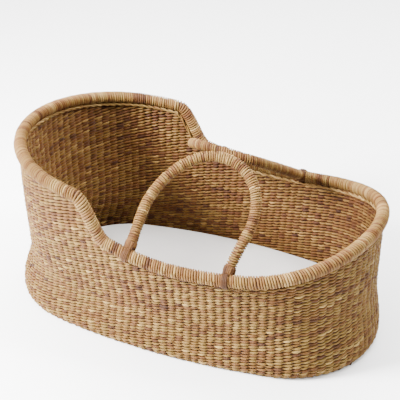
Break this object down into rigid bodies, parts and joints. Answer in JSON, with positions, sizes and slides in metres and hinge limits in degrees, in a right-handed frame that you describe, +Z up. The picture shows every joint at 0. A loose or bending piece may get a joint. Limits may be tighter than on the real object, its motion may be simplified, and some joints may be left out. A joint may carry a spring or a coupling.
{
  "type": "moses basket",
  "caption": "Oval twined-grass baby basket with a raised head end, wrapped rim, two hinged rope carrying handles and a loose flat mattress.",
  "frame": {"origin": "middle of the base, on the floor", "axes": "+X to the foot end, +Y to the far side, +Z up"},
  "size_m": [0.8, 0.5032, 0.3982],
  "materials": {
    "woven_grass": "matte twined seagrass",
    "stake_grass": "matte dry grass",
    "wrapping_grass": "matte wrapped seagrass strand",
    "lashing": "matte orange-brown strip",
    "foam": "open foam",
    "cotton": "matte plain cotton",
    "zip_tape": "woven tape",
    "zip_metal": "satin"
  },
  "bodies": {
    "basket": {"base_weave": "woven_grass", "outer_wall_weave": "woven_grass", "inner_wall_weave": "woven_grass", "wall_stakes": "stake_grass", "rim_binding": "wrapping_grass", "rim_core": "stake_grass", "near_head_lashing": "lashing", "near_foot_lashing": "lashing", "far_head_lashing": "lashing", "far_foot_lashing": "lashing"},
    "near_handle": {"near_handle_core": "stake_grass", "near_handle_binding": "wrapping_grass", "near_handle_whippings": "lashing"},
    "far_handle": {"far_handle_core": "stake_grass", "far_handle_binding": "wrapping_grass", "far_handle_whippings": "lashing"},
    "mattress": {"mattress_foam": "foam", "mattress_top_cover": "cotton", "mattress_border": "cotton", "mattress_base_cover": "cotton", "zip_tape": "zip_tape", "zip_slider": "zip_metal"}
  },
  "joints": [
    {"name": "near_handle_hinge", "type": "hinge", "parent": "basket", "child": "near_handle", "pos_m": [0.0635, -0.23016, 0.23332], "axis": [0.9956, 0.0623, -0.0702], "range_deg": [-24, 166]},
    {"name": "far_handle_hinge", "type": "hinge", "parent": "basket", "child": "far_handle", "pos_m": [0.0635, 0.23016, 0.23332], "axis": [0.9956, -0.0623, -0.0702], "range_deg": [-180, 10]},
    {"name": "mattress_lift", "type": "slide", "parent": "basket", "child": "mattress", "axis": [0, 0, 1], "range_m": [0, 0.14]}
  ]
}
